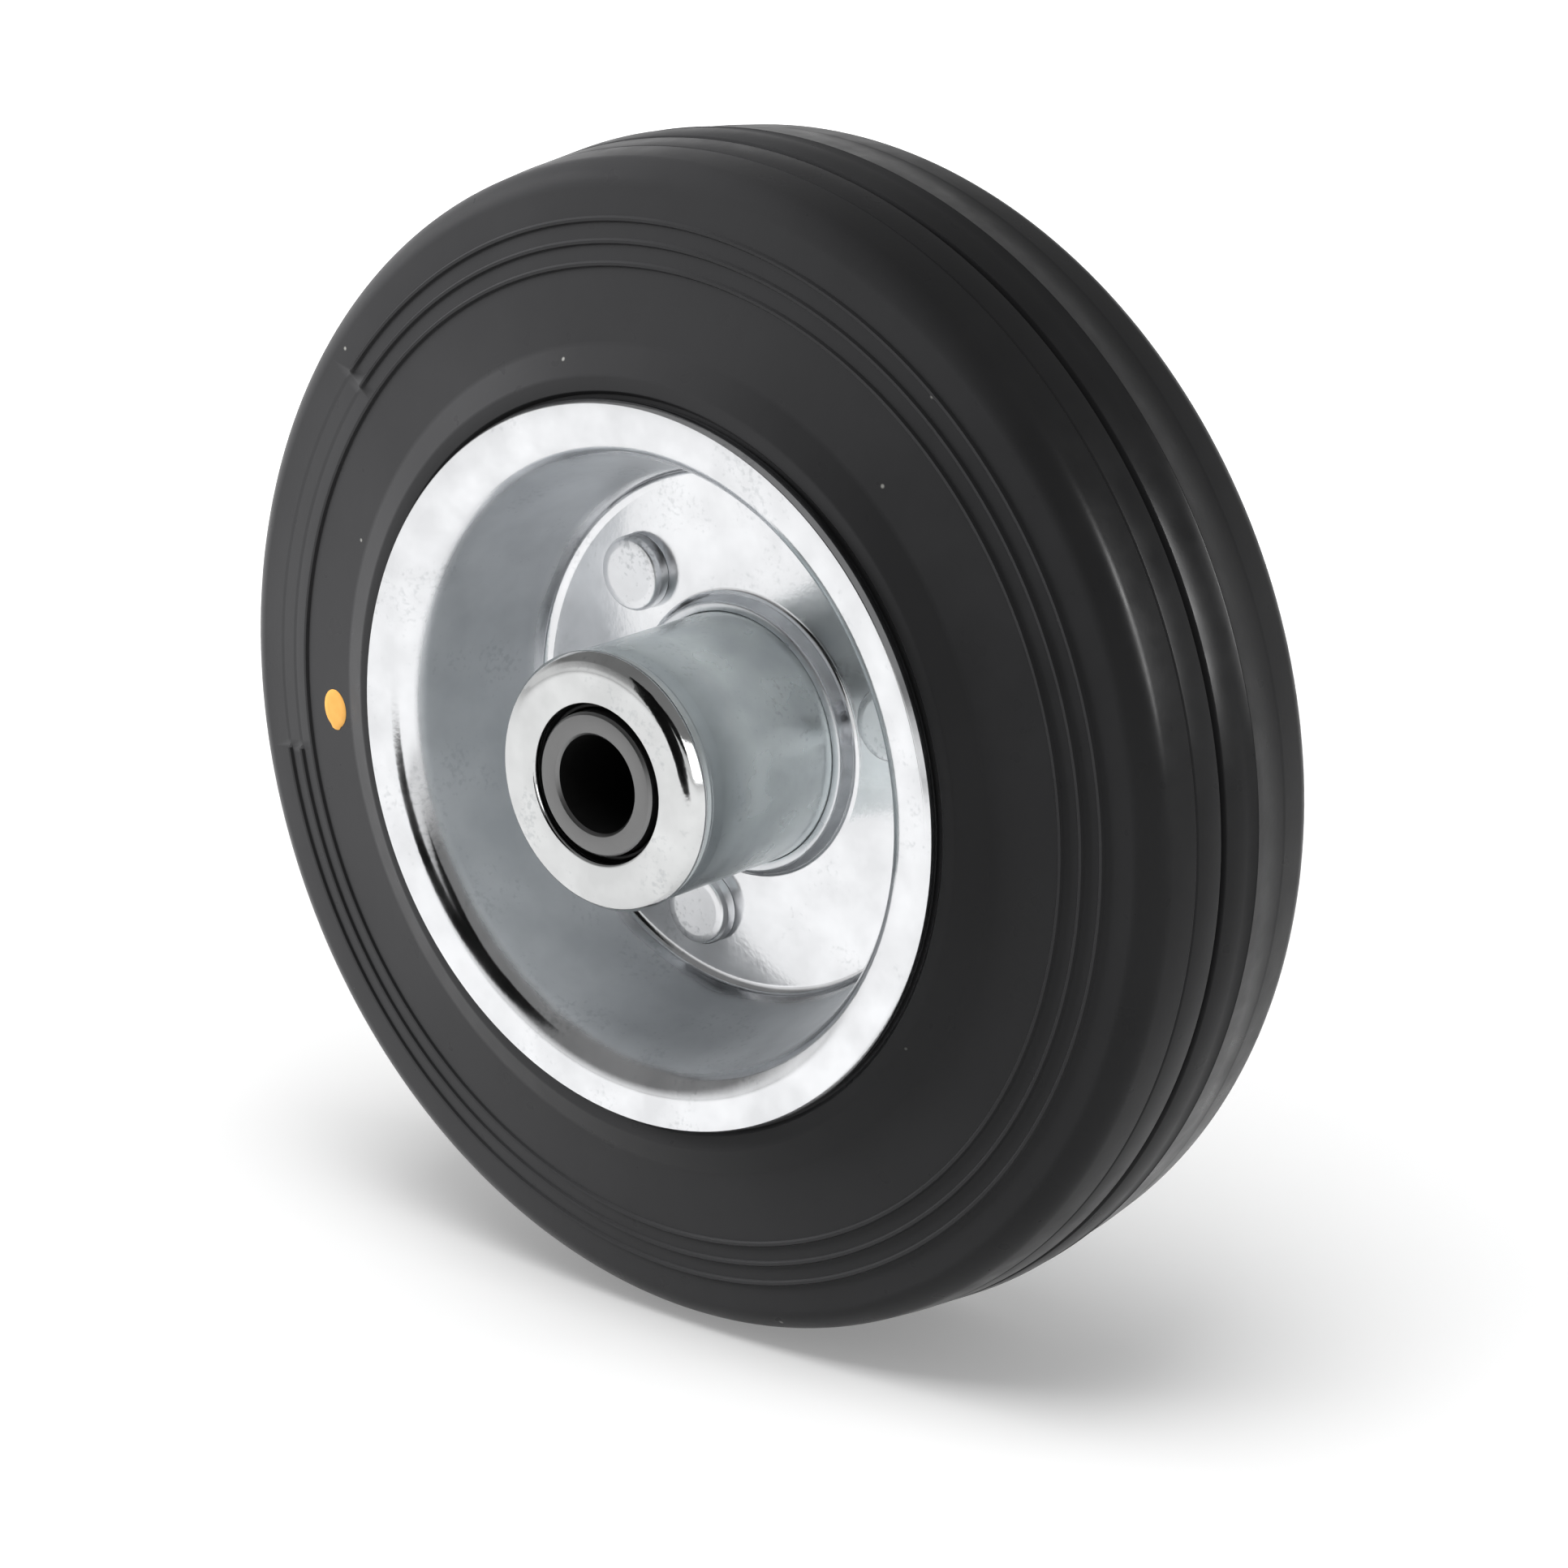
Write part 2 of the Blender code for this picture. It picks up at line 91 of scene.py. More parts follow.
def srgb(code):
    """Linear colour of an sRGB hex code."""
    parts = [int(code[place:place + 2], 16) / 255 for place in (1, 3, 5)]
    return tuple(part / 12.92 if part <= 0.04045 else ((part + 0.055) / 1.055) ** 2.4 for part in parts)


def size_property(name, description, millimetres, low, high):
    """A length that the user can change."""
    return bpy.props.FloatProperty(name=name, description=description, default=millimetres * MM,
                                   min=low * MM, max=high * MM, unit="LENGTH", subtype="DISTANCE",
                                   precision=4)


def colour_property(name, description, code):
    """A colour that the user can change."""
    return bpy.props.FloatVectorProperty(name=name, description=description, default=srgb(code), size=3,
                                         min=0.0, max=1.0, subtype="COLOR")


class WheelSizes(bpy.types.PropertyGroup):
    """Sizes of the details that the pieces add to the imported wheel."""
    crown_drop: size_property("Crown drop", "How much lower the tread's crease is than its middle",
                              0.7, 0.0, 2.0)
    shoulder_round: size_property("Shoulder rounding", "Radius of the tyre's shoulder", 3.4, 1.0, 5.0)
    rib_height: size_property("Rib height", "Height of the ribs moulded on the sidewall", 0.25, 0.05, 0.6)
    panel_depth: size_property("Panel depth", "How far the bare panel lies below the sidewall",
                               0.1, 0.0, 0.4)
    groove_depth: size_property("Groove depth", "Depth of the groove round the tread", 1.3, 0.2, 3.0)
    flash_height: size_property("Parting line", "Height of the mould's parting line on the tread",
                                0.1, 0.0, 0.4)
    sheet: size_property("Disc sheet", "Thickness of the pressed steel discs", 1.6, 0.8, 3.0)
    lip_round: size_property("Lip rounding", "Radius of the rolled lip at the dish's mouth", 3.0, 0.5, 4.0)
    dot_diameter: size_property("Paint dot", "Width of the paint mark on the sidewall", 3.9, 1.0, 6.0)


class WheelFinishes(bpy.types.PropertyGroup):
    """Colours of the wheel's finishes."""
    rubber: colour_property("Rubber", "Moulded tyre", "#363637")
    zinc: colour_property("Zinc plate", "Bright zinc on the pressed steel", "#E6E7E9")
    cap: colour_property("Hub caps", "Zinc on the rolled caps", "#D2D3D3")
    tube: colour_property("Hub tube", "Zinc on the drawn tube", "#F4FCFE")
    steel: colour_property("Sleeve steel", "Ground end of the axle sleeve", "#7E7E7E")
    plastic: colour_property("Dust ring", "Moulded plastic of the dust rings", "#0B0B0C")
    paint: colour_property("Paint mark", "Brushed dot on the sidewall", "#CE9440")


# Modelling

def pick(piece, kind, test):
    """Selects the vertices, edges or faces of the piece in edit mode whose middle passes the test."""
    bpy.ops.mesh.select_mode(type=kind)
    bpy.ops.mesh.select_all(action="DESELECT")
    shape = bmesh.from_edit_mesh(piece.data)
    if kind == "VERT":
        found = [corner for corner in shape.verts if test(corner.co)]
    elif kind == "EDGE":
        found = [edge for edge in shape.edges if test((edge.verts[0].co + edge.verts[1].co) / 2)]
    else:
        found = [face for face in shape.faces if test(face.calc_center_median())]
    for element in found:
        element.select_set(True)
    shape.select_flush_mode()
    bmesh.update_edit_mesh(piece.data)


def draw_line(name, corners, closed=True):
    """Draws a turned piece's line of corners from a plane merged to one point, and rounds its corners."""
    bpy.ops.object.select_all(action="DESELECT")
    bpy.ops.mesh.primitive_plane_add(size=MM)
    piece = bpy.context.object
    piece.name = piece.data.name = name
    bpy.ops.object.mode_set(mode="EDIT")
    bpy.ops.mesh.select_all(action="SELECT")
    bpy.ops.mesh.merge(type="CENTER")
    places = [Vector((corner[0] * MM, -corner[1] * MM, 0.0)) for corner in corners]
    bpy.ops.transform.translate(value=places[0])
    for before, after in zip(places, places[1:]):
        bpy.ops.mesh.extrude_vertices_move(TRANSFORM_OT_translate={"value": after - before})
    if closed:
        pick(piece, "VERT",
             lambda spot: min((spot - places[0]).length, (spot - places[-1]).length) < SAME_PLACE)
        bpy.ops.mesh.edge_face_add()
    for index, corner in enumerate(corners):
        if len(corner) < 3:
            continue
        here = places[index]
        half = (places[index - 1] - here).angle(places[(index + 1) % len(places)] - here) / 2
        pick(piece, "VERT", lambda spot: (spot - here).length < SAME_PLACE)
        bpy.ops.mesh.bevel(affect="VERTICES", offset=corner[2] * MM / math.tan(half),
                           segments=corner[3] if len(corner) > 3 else 3)
    return piece


def spin_line(steps):
    """Spins the line in edit mode about the axle, closes the seam and leaves edit mode."""
    bpy.ops.mesh.select_all(action="SELECT")
    bpy.ops.mesh.spin(steps=steps, angle=math.tau, center=(0.0, 0.0, 0.0), axis=(0.0, 1.0, 0.0))
    bpy.ops.mesh.select_all(action="SELECT")
    bpy.ops.mesh.remove_doubles(threshold=SAME_PLACE)
    bpy.ops.mesh.select_all(action="SELECT")
    bpy.ops.mesh.normals_make_consistent(inside=False)
    bpy.ops.object.mode_set(mode="OBJECT")


def turn(name, corners, steps):
    """A closed piece spun about the axle from its line of corners."""
    piece = draw_line(name, corners)
    spin_line(steps)
    return piece


def both_sides(corners):
    """The corners, followed by their mirror images behind the middle plane."""
    return corners + [(corner[0], -corner[1], *corner[2:]) for corner in reversed(corners)]


def copy_turned(piece, name, axis, angle):
    """A copy of the piece with its own mesh, turned about an axis through the wheel's centre."""
    bpy.ops.object.select_all(action="DESELECT")
    piece.select_set(True)
    bpy.context.view_layer.objects.active = piece
    bpy.ops.object.duplicate(linked=False)
    twin = bpy.context.object
    twin.name = twin.data.name = name
    bpy.ops.object.mode_set(mode="EDIT")
    bpy.ops.mesh.select_all(action="SELECT")
    bpy.ops.transform.rotate(value=angle, orient_axis=axis, orient_type="GLOBAL",
                             center_override=(0.0, 0.0, 0.0))
    bpy.ops.object.mode_set(mode="OBJECT")
    return twin


def finish_piece(piece, body, nodes, materials, smooth=32.0):
    """Shades the piece, gives it its finish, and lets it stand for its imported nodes."""
    bpy.ops.object.select_all(action="DESELECT")
    piece.select_set(True)
    bpy.context.view_layer.objects.active = piece
    bpy.ops.object.shade_smooth_by_angle(angle=math.radians(smooth))
    for material in materials:
        if material.name not in piece.data.materials:
            piece.data.materials.append(material)
    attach(piece, body)
    if nodes:
        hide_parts(*nodes)


def wheel_angle(spot):
    """Angle in degrees of a place round the wheel, seen from the photographed side."""
    return math.degrees(math.atan2(spot.z, spot.x)) % 360.0


def wheel_radius(spot):
    """Distance in millimetres of a place from the axle's line."""
    return math.hypot(spot.x, spot.z) / MM


def round_wheel(radius, angle):
    """The place on the middle plane at a radius in millimetres and an angle in degrees round the wheel."""
    turned = math.radians(angle)
    return Vector((radius * MM * math.cos(turned), 0.0, radius * MM * math.sin(turned)))


def sidewall_height(radius):
    """How far the sidewall lies from the middle plane at a radius, both in millimetres."""
    return SIDEWALL_FOOT_HEIGHT - SIDEWALL_SLOPE * (radius - SIDEWALL_FOOT_RADIUS)


# Finishes

def add_node(tree, kind, settings=None, links=None):
    """Adds a node, sets its own settings and its inputs' values, and links its inputs."""
    node = tree.nodes.new(kind)
    for key, value in (settings or {}).items():
        if isinstance(key, str) and hasattr(node, key):
            setattr(node, key, value)
        else:
            node.inputs[key].default_value = value
    for key, socket in (links or {}).items():
        tree.links.new(socket, node.inputs[key])
    return node


def empty_tree(holder):
    """The emptied node tree of a material or a world."""
    holder.use_nodes = True
    holder.node_tree.nodes.clear()
    return holder.node_tree


def new_material(name):
    """An empty node material, its tree, and the Object coordinates that its patterns read."""
    material = bpy.data.materials.new(name)
    tree = empty_tree(material)
    place = add_node(tree, "ShaderNodeTexCoord")
    return material, tree, place.outputs["Object"]


def shade(tree, settings, links):
    """The surface shader and the material's output."""
    surface = add_node(tree, "ShaderNodeBsdfPrincipled", settings, links)
    add_node(tree, "ShaderNodeOutputMaterial", links={"Surface": surface.outputs["BSDF"]})


def rgba(colour, factor=1.0):
    """A colour with full alpha, made lighter or darker by a factor."""
    return (*(min(1.0, part * factor) for part in colour), 1.0)


def per_metre(millimetres):
    """Scale of a pattern whose features are about this many millimetres wide."""
    return 1.0 / (millimetres * MM)


def noise(tree, place, width, detail):
    """Noise whose features are about this many millimetres wide."""
    node = add_node(tree, "ShaderNodeTexNoise", {"Scale": per_metre(width), "Detail": detail},
                    {"Vector": place})
    return node.outputs["Fac"]


def ramp(tree, value, low, high, start=0.0, end=1.0):
    """Goes from start to end while the value goes from low to high, and stays there beyond."""
    node = add_node(tree, "ShaderNodeMapRange",
                    {"From Min": low, "From Max": high, "To Min": start, "To Max": end}, {"Value": value})
    return node.outputs["Result"]


def combine(tree, operation, *terms):
    """The result of a Math node on its terms, each a number or a socket."""
    fixed = {index: term for index, term in enumerate(terms) if isinstance(term, float)}
    linked = {index: term for index, term in enumerate(terms) if index not in fixed}
    return add_node(tree, "ShaderNodeMath", {"operation": operation, **fixed}, linked).outputs["Value"]


def blend(tree, factor, first, second):
    """A colour between two others, each a colour or a socket, by a factor that is a socket."""
    ends = {MIX_COLOUR_A: first, MIX_COLOUR_B: second}
    fixed = {key: end for key, end in ends.items() if isinstance(end, tuple)}
    linked = {key: end for key, end in ends.items() if key not in fixed}
    node = add_node(tree, "ShaderNodeMix", {"data_type": "RGBA", **fixed}, {MIX_FACTOR: factor, **linked})
    return node.outputs[MIX_COLOUR_RESULT]


def bump(tree, height, strength, distance, under=None):
    """Relief that is a distance in millimetres high, on top of other relief if some is given."""
    links = {"Height": height, "Normal": under} if under else {"Height": height}
    node = add_node(tree, "ShaderNodeBump", {"Strength": strength, "Distance": distance * MM}, links)
    return node.outputs["Normal"]


def make_rubber(colour):
    """Carbon-black filled rubber, compression moulded: satin, with a fine mould grain and settled dust."""
    material, tree, place = new_material("moulded_black_rubber")
    # Broad bloom, where wax has come to the surface and greys it
    tint = blend(tree, noise(tree, place, 14.0, 4.0), rgba(colour, 0.86), rgba(colour, 1.16))
    # Dust specks of about 0.4 mm, one in each of a few 5 mm cells
    specks = add_node(tree, "ShaderNodeTexVoronoi", {"Scale": per_metre(5.0), "Randomness": 1.0},
                      {"Vector": place})
    near = ramp(tree, specks.outputs["Distance"], 0.055, 0.025)
    cell = add_node(tree, "ShaderNodeSeparateColor", links={"Color": specks.outputs["Color"]})
    rare = combine(tree, "GREATER_THAN", cell.outputs["Red"], 0.72)
    dusty = blend(tree, combine(tree, "MULTIPLY", near, rare), tint, rgba(srgb("#8F8F8B")))
    # Mould grain of about 0.5 mm, and slower waves left by the flowing rubber
    flow = noise(tree, place, 3.5, 2.0)
    fine = bump(tree, noise(tree, place, 0.5, 3.0), 0.25, 0.02)
    shade(tree, {"Metallic": 0.0, "Specular IOR Level": 0.08},
          {"Base Color": dusty, "Roughness": ramp(tree, flow, 0.3, 0.7, 0.27, 0.36),
           "Normal": bump(tree, flow, 0.35, 0.05, fine)})
    return material


def make_zinc(name, colour, rough_low, rough_high, mottle, draw_scale, wall=0.0, metal=1.0, painted_reflection_strength=0.0):
    """Bright blue-passivated zinc plate on steel: mirror-like, with press marks and a little mottling.

    wall is how much more matt the drawn wall of a disc is, and the last argument how strongly a painted dark
    reflection darkens the tube's ends.
    """
    material, tree, place = new_material(name)
    # Cloudy passivation, some 6 mm across, a little darker or lighter than the rest
    cloud = noise(tree, place, 6.0, 3.0)
    tint = blend(tree, ramp(tree, cloud, 0.34, 0.66), rgba(colour, 0.86), rgba(colour, 1.03))
    # Small pits and scuffs, 0.6 mm, only where a wider pattern lets them through
    pits = noise(tree, place, 0.6, 2.0)
    pitted = combine(tree, "MULTIPLY", pits, noise(tree, place, 7.0, 1.0))
    shown = blend(tree, ramp(tree, pitted, 0.34, 0.46, 0.0, mottle), tint, rgba(srgb("#A4A8AA")))
    rough = ramp(tree, cloud, 0.3, 0.7, rough_low, rough_high)
    links = {"Base Color": shown, "Roughness": rough}
    if painted_reflection_strength or wall:
        spot = add_node(tree, "ShaderNodeSeparateXYZ", links={"Vector": place})
        height = combine(tree, "ABSOLUTE", spot.outputs["Y"])
    if painted_reflection_strength:
        # Painted reflection: the last few mm of the tube next to the caps are darkened, standing in for the
        # dish wall mirrored in it
        painted_reflection_mask = ramp(tree, height, 15.0 * MM, 20.5 * MM, 0.0, painted_reflection_strength)
        links["Base Color"] = blend(tree, painted_reflection_mask, shown, rgba(srgb("#6C7377")))
    if wall:
        # The deep-drawn wall, 4 to 17 mm from the middle plane, is stretched: bluer, rougher and less
        # of a mirror
        above = ramp(tree, height, 3.0 * MM, 4.5 * MM, 0.0, wall)
        below = ramp(tree, height, 16.2 * MM, 17.4 * MM, 1.0, 0.0)
        drawn = combine(tree, "MULTIPLY", above, below)
        links = {"Base Color": blend(tree, drawn, shown, rgba(srgb("#AEB9C2"))),
                 "Roughness": combine(tree, "ADD", drawn, rough),
                 "Metallic": combine(tree, "MULTIPLY_ADD", drawn, -1.1, metal)}
    # Marks left by the press, which draw_scale stretches along the axle
    stretched = add_node(tree, "ShaderNodeMapping", {"Scale": draw_scale}, {"Vector": place})
    marks = bump(tree, noise(tree, stretched.outputs["Vector"], 1.2, 3.0), 0.12, 0.02)
    shade(tree, {"Metallic": metal}, {**links, "Normal": bump(tree, pits, 0.16, 0.04, marks)})
    return material


def make_ground_steel(colour):
    """Bearing steel, ground on its faces: satin, with rings left by the wheel about the axle."""
    material, tree, place = new_material("ground_bearing_steel")
    # Grinding rings, coarser than the real ones so that they show
    rings = add_node(tree, "ShaderNodeTexWave",
                     {"wave_type": "RINGS", "rings_direction": "Y",
                      "Scale": WAVE_PITCH / (GRINDING_PITCH * MM),
                      "Distortion": 1.5, "Detail": 1.0, "Detail Scale": 0.4}, {"Vector": place})
    stain = noise(tree, place, 2.5, 3.0)
    shade(tree, {"Metallic": 1.0},
          {"Base Color": blend(tree, stain, rgba(colour, 0.88), rgba(colour, 1.04)),
           "Roughness": ramp(tree, stain, 0.0, 1.0, 0.30, 0.42),
           "Normal": bump(tree, rings.outputs["Fac"], 0.15, 0.01)})
    return material


def make_black_oxide():
    """Steel bore left black by its heat treatment and oiling: dark, and it swallows the light."""
    material, tree, place = new_material("oiled_black_bore")
    tint = blend(tree, noise(tree, place, 1.5, 2.0), rgba(srgb("#060606")), rgba(srgb("#101010")))
    shade(tree, {"Roughness": 0.75, "Metallic": 0.0, "Specular IOR Level": 0.15}, {"Base Color": tint})
    return material


def make_plastic(name, colour, roughness):
    """Injection-moulded nylon: matt, with a fine spark-eroded grain."""
    material, tree, place = new_material(name)
    grain = noise(tree, place, 0.4, 2.0)
    shade(tree, {"Roughness": roughness},
          {"Base Color": blend(tree, grain, rgba(colour, 0.8), rgba(colour, 1.2)),
           "Normal": bump(tree, grain, 0.2, 0.02)})
    return material


def make_paint(colour):
    """Marking paint dabbed on by brush: opaque and slightly glossy, with streaks of a lighter shade."""
    material, tree, place = new_material("brushed_marking_paint")
    streak = noise(tree, place, 0.8, 2.0)
    shade(tree, {"Roughness": 0.45, "IOR": 1.5},
          {"Base Color": blend(tree, streak, rgba(colour), rgba(srgb("#D8A250"))),
           "Normal": bump(tree, streak, 0.3, 0.03)})
    return material


# Pieces

class WHEEL_OT_tyre(bpy.types.Operator):
    """Turn the tyre, with its bead, ribs, bare panel, groove and parting line"""
    bl_idname = "wheel.tyre"
    bl_label = "Tyre"

    def execute(self, context):
        sizes = context.scene.wheel_sizes
        rise = sizes.crown_drop / MM / CREASE_HEIGHT
        rib = sizes.rib_height / MM
        foot, top = 0.32, 0.14      # half widths of a rib
        shoulder = 61.05
        side = [(33.5, 17.1), (38.35, 17.1), (38.75, 17.5, 0.2), (40.3, 17.45, 0.9, 4),
                (43.3, 16.02, 2.2, 4)]
        for radius in RIB_RADII:
            side += [(radius - foot, sidewall_height(radius - foot)),
                     (radius - top, sidewall_height(radius) + rib),
                     (radius + top, sidewall_height(radius) + rib),
                     (radius + foot, sidewall_height(radius + foot))]
        side += [(shoulder, sidewall_height(shoulder), sizes.shoulder_round / MM, 14)]
        crease = WHEEL_RADIUS - rise * CREASE_HEIGHT
        near = [(crease, 7.3, 0.1, 2), (crease - 0.12, 7.1), (crease + 0.02, 6.9, 0.1, 2)]
        far = [(crease + 0.02, -6.9, 0.6, 3), (crease, -7.3, 0.5, 3)]
        floor = WHEEL_RADIUS - sizes.groove_depth / MM
        flash = sizes.flash_height / MM
        tread = [(WHEEL_RADIUS - rise * 3.7, 3.7, 0.12, 2), (floor, 3.55, 0.15, 2), (floor, 3.05, 0.15, 2),
                 (WHEEL_RADIUS - rise * 2.9, 2.9, 0.12, 2), (WHEEL_RADIUS, 0.0),
                 (WHEEL_RADIUS - rise * 1.95, -1.95), (WHEEL_RADIUS - rise * 2.1 + flash, -2.1),
                 (WHEEL_RADIUS - rise * 2.25, -2.25)]
        back = [(corner[0], -corner[1], *corner[2:]) for corner in reversed(side)]
        foot_in_rim = [(30.0, -3.2), (30.0, 3.2)]
        tyre = turn("tyre_moulding", side + near + tread + far + back + foot_in_rim, 240)

        # The outer two ribs stop at a bare panel, which lies a little below the sidewall
        front = -12.0 * MM          # only the photographed sidewall lies in front of this
        step = 0.35                 # degrees in which the panel falls away
        bpy.ops.object.mode_set(mode="EDIT")
        for angle in (PANEL_START, PANEL_START + step, PANEL_END - step, PANEL_END):
            turned = math.radians(angle)
            along = Vector((math.cos(turned), 0.0, math.sin(turned)))
            pick(tyre, "FACE", lambda spot: spot.y < front and 52.0 < wheel_radius(spot) < 57.0
                 and spot.normalized().dot(along) > 0.9)
            bpy.ops.mesh.bisect(plane_co=(0.0, 0.0, 0.0), plane_no=(-along.z, 0.0, along.x))

        def on_panel(spot):
            """Whether a place is on the panel, or on a rib's end within it."""
            return (spot.y < front and 52.7 < wheel_radius(spot) < 56.1
                    and PANEL_START + 0.5 * step < wheel_angle(spot) < PANEL_END - 0.5 * step)

        pick(tyre, "VERT", lambda spot: on_panel(spot)
             and -spot.y / MM > sidewall_height(wheel_radius(spot)) + 0.5 * rib)
        bpy.ops.transform.translate(value=(0.0, sizes.rib_height, 0.0))
        pick(tyre, "VERT", on_panel)
        bpy.ops.transform.translate(value=(0.0, sizes.panel_depth, 0.0))
        bpy.ops.object.mode_set(mode="OBJECT")
        rubber = make_rubber(context.scene.wheel_finishes.rubber)
        finish_piece(tyre, "wheel", ["tyre"], [rubber], 40.0)
        return {"FINISHED"}


class WHEEL_OT_paint_dot(bpy.types.Operator):
    """Dab the paint mark on the sidewall"""
    bl_idname = "wheel.paint_dot"
    bl_label = "Paint mark"

    def execute(self, context):
        radius = context.scene.wheel_sizes.dot_diameter / 2
        bpy.ops.object.select_all(action="DESELECT")
        bpy.ops.mesh.primitive_circle_add(vertices=40, radius=radius, fill_type="NGON",
                                          rotation=(math.pi / 2, 0.0, 0.0))
        dot = bpy.context.object
        dot.name = dot.data.name = "paint_dot"
        bpy.ops.object.transform_apply(location=True, rotation=True, scale=True)
        bpy.ops.object.mode_set(mode="EDIT")
        # Dabbed a little longer than wide, with a point at the lower end
        bpy.ops.mesh.select_all(action="SELECT")
        bpy.ops.transform.resize(value=(1.0, 1.0, 1.08))
        pick(dot, "VERT", lambda spot: spot.z < -1.0 * radius)
        bpy.ops.transform.translate(value=(0.0, 0.0, -0.12 * radius))
        bpy.ops.mesh.select_all(action="SELECT")
        bpy.ops.mesh.extrude_region_move(TRANSFORM_OT_translate={"value": (0.0, -0.05 * MM, 0.0)})
        bpy.ops.mesh.inset(thickness=0.2 * MM, depth=0.04 * MM)
        bpy.ops.mesh.inset(thickness=0.5 * MM, depth=0.02 * MM)
        bpy.ops.mesh.poke()
        bpy.ops.mesh.select_all(action="SELECT")
        bpy.ops.mesh.normals_make_consistent(inside=False)
        bpy.ops.object.mode_set(mode="OBJECT")
        # Laid on the sidewall, sunk a little, and leaning back as the sidewall does away from the axle
        sunk = 0.03
        dot.location = round_wheel(DOT_RADIUS, DOT_ANGLE)
        dot.location.y = -(sidewall_height(DOT_RADIUS) - sunk) * MM
        turned = math.radians(DOT_ANGLE)
        outward = Vector((math.cos(turned), 0.0, math.sin(turned)))
        normal = (outward * SIDEWALL_SLOPE + Vector((0.0, -1.0, 0.0))).normalized()
        dot.rotation_mode = "QUATERNION"
        dot.rotation_quaternion = Vector((0.0, -1.0, 0.0)).rotation_difference(normal)
        bpy.ops.object.transform_apply(location=True, rotation=True, scale=True)
        finish_piece(dot, "wheel", [], [make_paint(context.scene.wheel_finishes.paint)], 50.0)
        return {"FINISHED"}


class WHEEL_OT_discs(bpy.types.Operator):
    """Press the two rim discs, with their collars, rolled lips and sheared edges"""
    bl_idname = "wheel.discs"
    bl_label = "Rim discs"

    def execute(self, context):
        sizes = context.scene.wheel_sizes
        sheet = sizes.sheet / MM
        taper = 4.2 / 14.8          # how far the dish wall spreads for each millimetre of its height
        lean = math.hypot(1.0, taper)
        flange_face, floor_face = 19.0, 1.75
        flange_back, floor_back = flange_face - sheet, floor_face - sheet
        corners = [
            (13.36, floor_back, 0.9, 4), (13.36, 3.8, 0.1, 2), (14.3, 3.8, 0.35, 4),
            (14.85, floor_face, 0.7, 5), (27.8, floor_face, 1.1, 6), (32.0, 16.55, 4.0, 4),
            (33.6, 18.8, sizes.lip_round / MM, 10), (37.82, flange_face, 0.15, 3), (38.12, 18.4, 0.15, 2),
            (38.08, flange_back, 0.12, 2), (33.9, flange_back - 0.2, 1.4, 4),
            (27.8 + sheet * lean - taper * sheet, floor_back, 1.5 + sheet, 6),
        ]
        disc = turn("rim_pressing_front", corners, 192)
        holes = []
        for number in range(RIVET_COUNT):
            bpy.ops.mesh.primitive_cylinder_add(
                vertices=48, radius=2.7 * MM, depth=8.0 * MM, rotation=(math.pi / 2, 0.0, 0.0),
                location=round_wheel(RIVET_RADIUS, RIVET_ANGLE + 360.0 / RIVET_COUNT * number))
            holes.append(bpy.context.object)
        bpy.context.view_layer.objects.active = disc
        for hole in holes:
            cut = disc.modifiers.new("rivet_hole", "BOOLEAN")
            cut.object, cut.operation, cut.solver = hole, "DIFFERENCE", "EXACT"
            bpy.ops.object.modifier_apply(modifier=cut.name)
        for hole in holes:
            bpy.data.objects.remove(hole)
        # Turning the cut disc over puts the far disc's holes 29 degrees from its rivets
        twin = copy_turned(disc, "rim_pressing_back", "X", math.pi)
        zinc = make_zinc("bright_zinc_pressing", context.scene.wheel_finishes.zinc, 0.10, 0.20, 0.3,
                         (1.0, 0.05, 1.0), wall=0.28)
        finish_piece(disc, "wheel", ["rim_disc_front"], [zinc])
        finish_piece(twin, "wheel", ["rim_disc_back"], [zinc])
        return {"FINISHED"}


class WHEEL_OT_rivets(bpy.types.Operator):
    """Set the three rivets that hold the discs together"""
    bl_idname = "wheel.rivets"
    bl_label = "Rivets"

    def execute(self, context):
        half = [(0.0, 3.46), (1.6, 3.47), (2.9, 3.55, 0.8, 3), (3.72, 3.5, 0.3, 3), (4.0, 2.9, 0.4, 3),
                (4.0, 1.76, 0.1, 2), (2.5, 1.76, 0.1, 2)]
        zinc = make_zinc("zinc_plated_rivet", context.scene.wheel_finishes.zinc, 0.24, 0.36, 0.5,
                         (1.0, 1.0, 1.0))
        rivet = draw_line("rivet_head_1", both_sides(half), closed=False)
        spin_line(48)
        bpy.ops.object.mode_set(mode="EDIT")
        bpy.ops.mesh.select_all(action="SELECT")
        bpy.ops.transform.translate(value=round_wheel(RIVET_RADIUS, RIVET_ANGLE))
        bpy.ops.object.mode_set(mode="OBJECT")
        rivets = [rivet]
        for number in range(1, RIVET_COUNT):
            rivets.append(copy_turned(rivet, "rivet_head_" + str(number + 1), "Y",
                                      number * math.tau / RIVET_COUNT))
        for piece in rivets:
            middle = sum((corner.co for corner in piece.data.vertices), Vector()) / len(piece.data.vertices)
            nearest = min(("rivet_1", "rivet_2", "rivet_3"),
                          key=lambda node: ((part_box(node)[0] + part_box(node)[1]) / 2 - middle).length)
            finish_piece(piece, "wheel", [nearest], [zinc])
        return {"FINISHED"}


